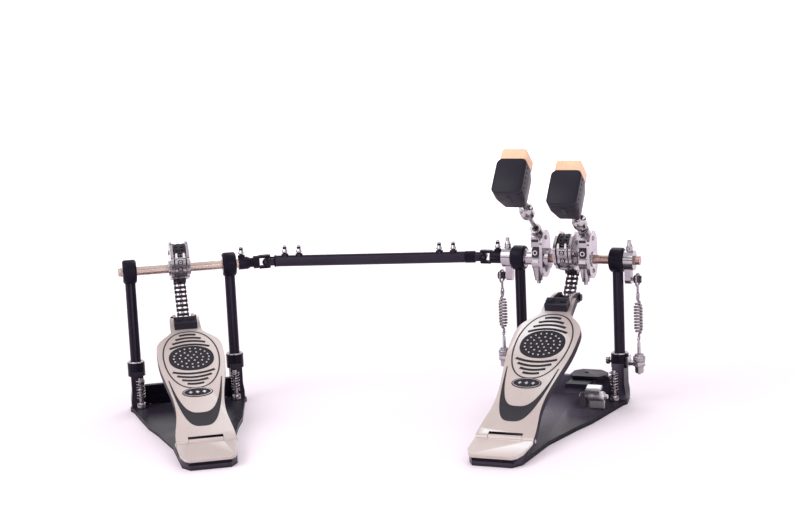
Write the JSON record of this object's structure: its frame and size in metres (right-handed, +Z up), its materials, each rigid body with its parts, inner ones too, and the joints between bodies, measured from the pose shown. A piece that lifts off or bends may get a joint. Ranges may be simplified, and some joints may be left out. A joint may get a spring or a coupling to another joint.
{
  "type": "double bass drum pedal",
  "caption": "Chain-driven double bass drum pedal: a master pedal with its beaters on one shaft line, a slave pedal, and a telescoping drive rod with universal joints.",
  "frame": {"origin": "on the floor, under the middle of the master pedal's cam shaft", "axes": "+X along the master pedal's cam shaft to the drummer's right, +Y towards the drum, +Z up"},
  "size_m": [0.6261, 0.4263, 0.3216],
  "materials": {
    "black_steel": "semi-gloss black powder coat",
    "rubber": "matte rubber",
    "board_aluminium": "satin cast aluminium, warm silver",
    "chrome": "polished chrome",
    "chain_steel": "blackened steel",
    "bronze": "turned bronze-coloured steel",
    "black_plastic": "satin moulded plastic",
    "felt": "pressed felt"
  },
  "bodies": {
    "root": {"master_base_plate": "black_steel", "master_base_rubber": "rubber", "master_frame": "black_steel", "master_posts": "black_steel", "master_bearing_housings": "black_steel", "master_bearings": "chrome", "master_heel_plate": "board_aluminium", "master_heel_pin": "chrome", "master_spurs": "chrome", "spring_anchors": "chrome"},
    "slave_base": {"slave_base_plate": "black_steel", "slave_base_rubber": "rubber", "slave_frame": "black_steel", "slave_posts": "black_steel", "slave_bearing_housings": "black_steel", "slave_bearings": "chrome", "slave_heel_plate": "board_aluminium", "slave_heel_pin": "chrome", "slave_spurs": "chrome"},
    "master_cam": {"master_shaft": "bronze", "master_sprocket": "chrome", "master_chain_wrap": "chain_steel", "right_hub": "chrome", "right_rocker": "chrome"},
    "slave_cam": {"slave_shaft": "bronze", "slave_sprocket": "chrome", "slave_chain_wrap": "chain_steel", "slave_shaft_yoke": "black_steel"},
    "left_cam": {"left_hub": "chrome", "left_rocker": "chrome", "master_shaft_yoke": "black_steel"},
    "right_beater": {"right_beater_rod": "chrome", "right_beater_shell": "black_plastic", "right_beater_felt": "felt"},
    "left_beater": {"left_beater_rod": "chrome", "left_beater_shell": "black_plastic", "left_beater_felt": "felt"},
    "right_spring_body": {"right_spring": "chrome"},
    "left_spring_body": {"left_spring": "chrome"},
    "right_hook_body": {"right_hook": "chrome"},
    "left_hook_body": {"left_hook": "chrome"},
    "hoop_jaw_body": {"hoop_jaw": "black_steel"},
    "hoop_screw_body": {"hoop_screw": "chrome"},
    "drive_tube_body": {"drive_tube": "black_steel", "slave_end_yoke": "black_steel"},
    "master_end": {"master_end_yoke": "black_steel"},
    "slave_cross_body": {"slave_cross": "chain_steel"},
    "master_cross_body": {"master_cross": "chain_steel"},
    "master_board": {"master_footboard": "board_aluminium", "master_toe_clamp": "black_plastic"},
    "master_chain_upper_link": {"master_chain_upper": "chain_steel"},
    "master_chain_middle_link": {"master_chain_middle": "chain_steel"},
    "master_chain_lower_link": {"master_chain_lower": "chain_steel"},
    "master_chain_free_link": {"master_chain_free": "chain_steel"},
    "slave_board": {"slave_footboard": "board_aluminium", "slave_toe_clamp": "black_plastic"},
    "slave_chain_upper_link": {"slave_chain_upper": "chain_steel"},
    "slave_chain_middle_link": {"slave_chain_middle": "chain_steel"},
    "slave_chain_lower_link": {"slave_chain_lower": "chain_steel"},
    "slave_chain_free_link": {"slave_chain_free": "chain_steel"}
  },
  "joints": [
    {"name": "master_cam_turn", "type": "hinge", "parent": "root", "child": "master_cam", "pos_m": [0, 0, 0.176], "axis": [1, 0, 0], "range_deg": [-51.75, 0], "stiffness_Nm_per_rad": 1, "springref_deg": 22.92},
    {"name": "linkage_length", "type": "slide", "parent": "root", "child": "slave_base", "axis": [-0.966, -0.2585, 0], "range_m": [0, 0.06]},
    {"name": "slave_cam_turn", "type": "hinge", "parent": "slave_base", "child": "slave_cam", "pos_m": [-0.465, -0.132, 0.176], "axis": [0.831, 0.5563, 0], "range_deg": [-56.4, 0], "stiffness_Nm_per_rad": 1, "springref_deg": 22.92},
    {"name": "master_board_turn", "type": "hinge", "parent": "root", "child": "master_board", "pos_m": [0, -0.251, 0.018], "axis": [1, 0, 0], "range_deg": [-7.59, 0]},
    {"name": "master_chain_upper_turn", "type": "hinge", "parent": "master_cam", "child": "master_chain_upper_link", "pos_m": [0, 0.02199, 0.1939], "axis": [1, 0, 0], "range_deg": [0, 13.16]},
    {"name": "master_chain_middle_turn", "type": "hinge", "parent": "master_chain_upper_link", "child": "master_chain_middle_link", "pos_m": [0, 0.02758, 0.18258], "axis": [1, 0, 0], "range_deg": [0, 26.27]},
    {"name": "master_chain_lower_turn", "type": "hinge", "parent": "master_chain_middle_link", "child": "master_chain_lower_link", "pos_m": [0, 0.02771, 0.16997], "axis": [1, 0, 0], "range_deg": [0, 26.27]},
    {"name": "master_chain_free_turn", "type": "hinge", "parent": "master_chain_lower_link", "child": "master_chain_free_link", "pos_m": [0, 0.02235, 0.15854], "axis": [1, 0, 0], "range_deg": [0, 13.16]},
    {"name": "slave_board_turn", "type": "hinge", "parent": "slave_base", "child": "slave_board", "pos_m": [-0.32537, -0.34058, 0.018], "axis": [0.831, 0.5563, 0], "range_deg": [-8.87, 0]},
    {"name": "slave_chain_upper_turn", "type": "hinge", "parent": "slave_cam", "child": "slave_chain_upper_link", "pos_m": [-0.47724, -0.11372, 0.1939], "axis": [0.831, 0.5563, 0], "range_deg": [0, 13.16]},
    {"name": "slave_chain_middle_turn", "type": "hinge", "parent": "slave_chain_upper_link", "child": "slave_chain_middle_link", "pos_m": [-0.48034, -0.10908, 0.18258], "axis": [0.831, 0.5563, 0], "range_deg": [0, 26.27]},
    {"name": "slave_chain_lower_turn", "type": "hinge", "parent": "slave_chain_middle_link", "child": "slave_chain_lower_link", "pos_m": [-0.48041, -0.10898, 0.16997], "axis": [0.831, 0.5563, 0], "range_deg": [0, 26.27]},
    {"name": "slave_chain_free_turn", "type": "hinge", "parent": "slave_chain_lower_link", "child": "slave_chain_free_link", "pos_m": [-0.47743, -0.11343, 0.15854], "axis": [0.831, 0.5563, 0], "range_deg": [0, 13.16]},
    {"name": "drive_tube_turn", "type": "hinge", "parent": "slave_base", "child": "drive_tube_body", "pos_m": [-0.37359, -0.07081, 0.176], "axis": [0.966, 0.2585, 0], "range_deg": [-56.08, 0]},
    {"name": "master_end_turn", "type": "hinge", "parent": "root", "child": "master_end", "pos_m": [-0.109, 0, 0.176], "axis": [0.966, 0.2585, 0], "range_deg": [-56.08, 0]},
    {"name": "left_cam_turn", "type": "hinge", "parent": "root", "child": "left_cam", "pos_m": [0, 0, 0.176], "axis": [1, 0, 0], "range_deg": [-57.03, 0]},
    {"name": "slave_cross_turn", "type": "hinge", "parent": "slave_cam", "child": "slave_cross_body", "pos_m": [-0.37359, -0.07081, 0.176], "axis": [0, 0, 1], "range_deg": [0, 8.35]},
    {"name": "master_cross_turn", "type": "hinge", "parent": "left_cam", "child": "master_cross_body", "pos_m": [-0.109, 0, 0.176], "axis": [0, 0, 1], "range_deg": [-6.62, 0]},
    {"name": "right_spring_swing", "type": "hinge", "parent": "root", "child": "right_spring_body", "pos_m": [0, 0, 0.08], "axis": [1, 0, 0], "range_deg": [0, 12.76]},
    {"name": "right_spring_stretch", "type": "slide", "parent": "right_spring_body", "child": "right_hook_body", "axis": [0, 0, 1], "range_m": [0, 0.01115], "deforming": ["right_spring"]},
    {"name": "left_spring_swing", "type": "hinge", "parent": "root", "child": "left_spring_body", "pos_m": [0, 0, 0.08], "axis": [1, 0, 0], "range_deg": [0, 13.21]},
    {"name": "left_spring_stretch", "type": "slide", "parent": "left_spring_body", "child": "left_hook_body", "axis": [0, 0, 1], "range_m": [0, 0.01269], "deforming": ["left_spring"]},
    {"name": "right_beater_height", "type": "slide", "parent": "master_cam", "child": "right_beater", "axis": [0, -0.7771, 0.6293], "range_m": [-0.004, 0.02]},
    {"name": "left_beater_height", "type": "slide", "parent": "left_cam", "child": "left_beater", "axis": [0, -0.7771, 0.6293], "range_m": [-0.02, 0.02]},
    {"name": "hoop_jaw_lift", "type": "slide", "parent": "root", "child": "hoop_jaw_body", "axis": [0, 0, 1], "range_m": [0, 0.006]},
    {"name": "hoop_screw_turn", "type": "hinge", "parent": "root", "child": "hoop_screw_body", "pos_m": [0.045, -0.056, 0.0205], "axis": [1, 0, 0], "range_deg": [0, 735]}
  ],
  "couplings": [
    {"joint": "master_board_turn", "follows": "master_cam_turn", "ratio": 0.14284},
    {"joint": "master_chain_upper_turn", "follows": "master_cam_turn", "ratio": -0.24841},
    {"joint": "master_chain_middle_turn", "follows": "master_cam_turn", "ratio": -0.49683},
    {"joint": "master_chain_lower_turn", "follows": "master_cam_turn", "ratio": -0.49683},
    {"joint": "master_chain_free_turn", "follows": "master_cam_turn", "ratio": -0.24841},
    {"joint": "slave_board_turn", "follows": "slave_cam_turn", "ratio": 0.15325},
    {"joint": "slave_chain_upper_turn", "follows": "slave_cam_turn", "ratio": -0.22793},
    {"joint": "slave_chain_middle_turn", "follows": "slave_cam_turn", "ratio": -0.45586},
    {"joint": "slave_chain_lower_turn", "follows": "slave_cam_turn", "ratio": -0.45586},
    {"joint": "slave_chain_free_turn", "follows": "slave_cam_turn", "ratio": -0.22793},
    {"joint": "drive_tube_turn", "follows": "slave_cam_turn", "ratio": 0.97402},
    {"joint": "master_end_turn", "follows": "slave_cam_turn", "ratio": 0.97402},
    {"joint": "left_cam_turn", "follows": "slave_cam_turn", "ratio": 0.99044},
    {"joint": "slave_cross_turn", "follows": "slave_cam_turn", "ratio": -0.14432},
    {"joint": "master_cross_turn", "follows": "slave_cam_turn", "ratio": 0.11421},
    {"joint": "right_spring_swing", "follows": "master_cam_turn", "ratio": -0.24071},
    {"joint": "right_spring_stretch", "follows": "master_cam_turn", "m_per_rad": -0.011883},
    {"joint": "left_spring_swing", "follows": "slave_cam_turn", "ratio": -0.22877},
    {"joint": "left_spring_stretch", "follows": "slave_cam_turn", "m_per_rad": -0.012441},
    {"joint": "hoop_screw_turn", "follows": "hoop_jaw_lift", "rad_per_m": 2094.4}
  ]
}
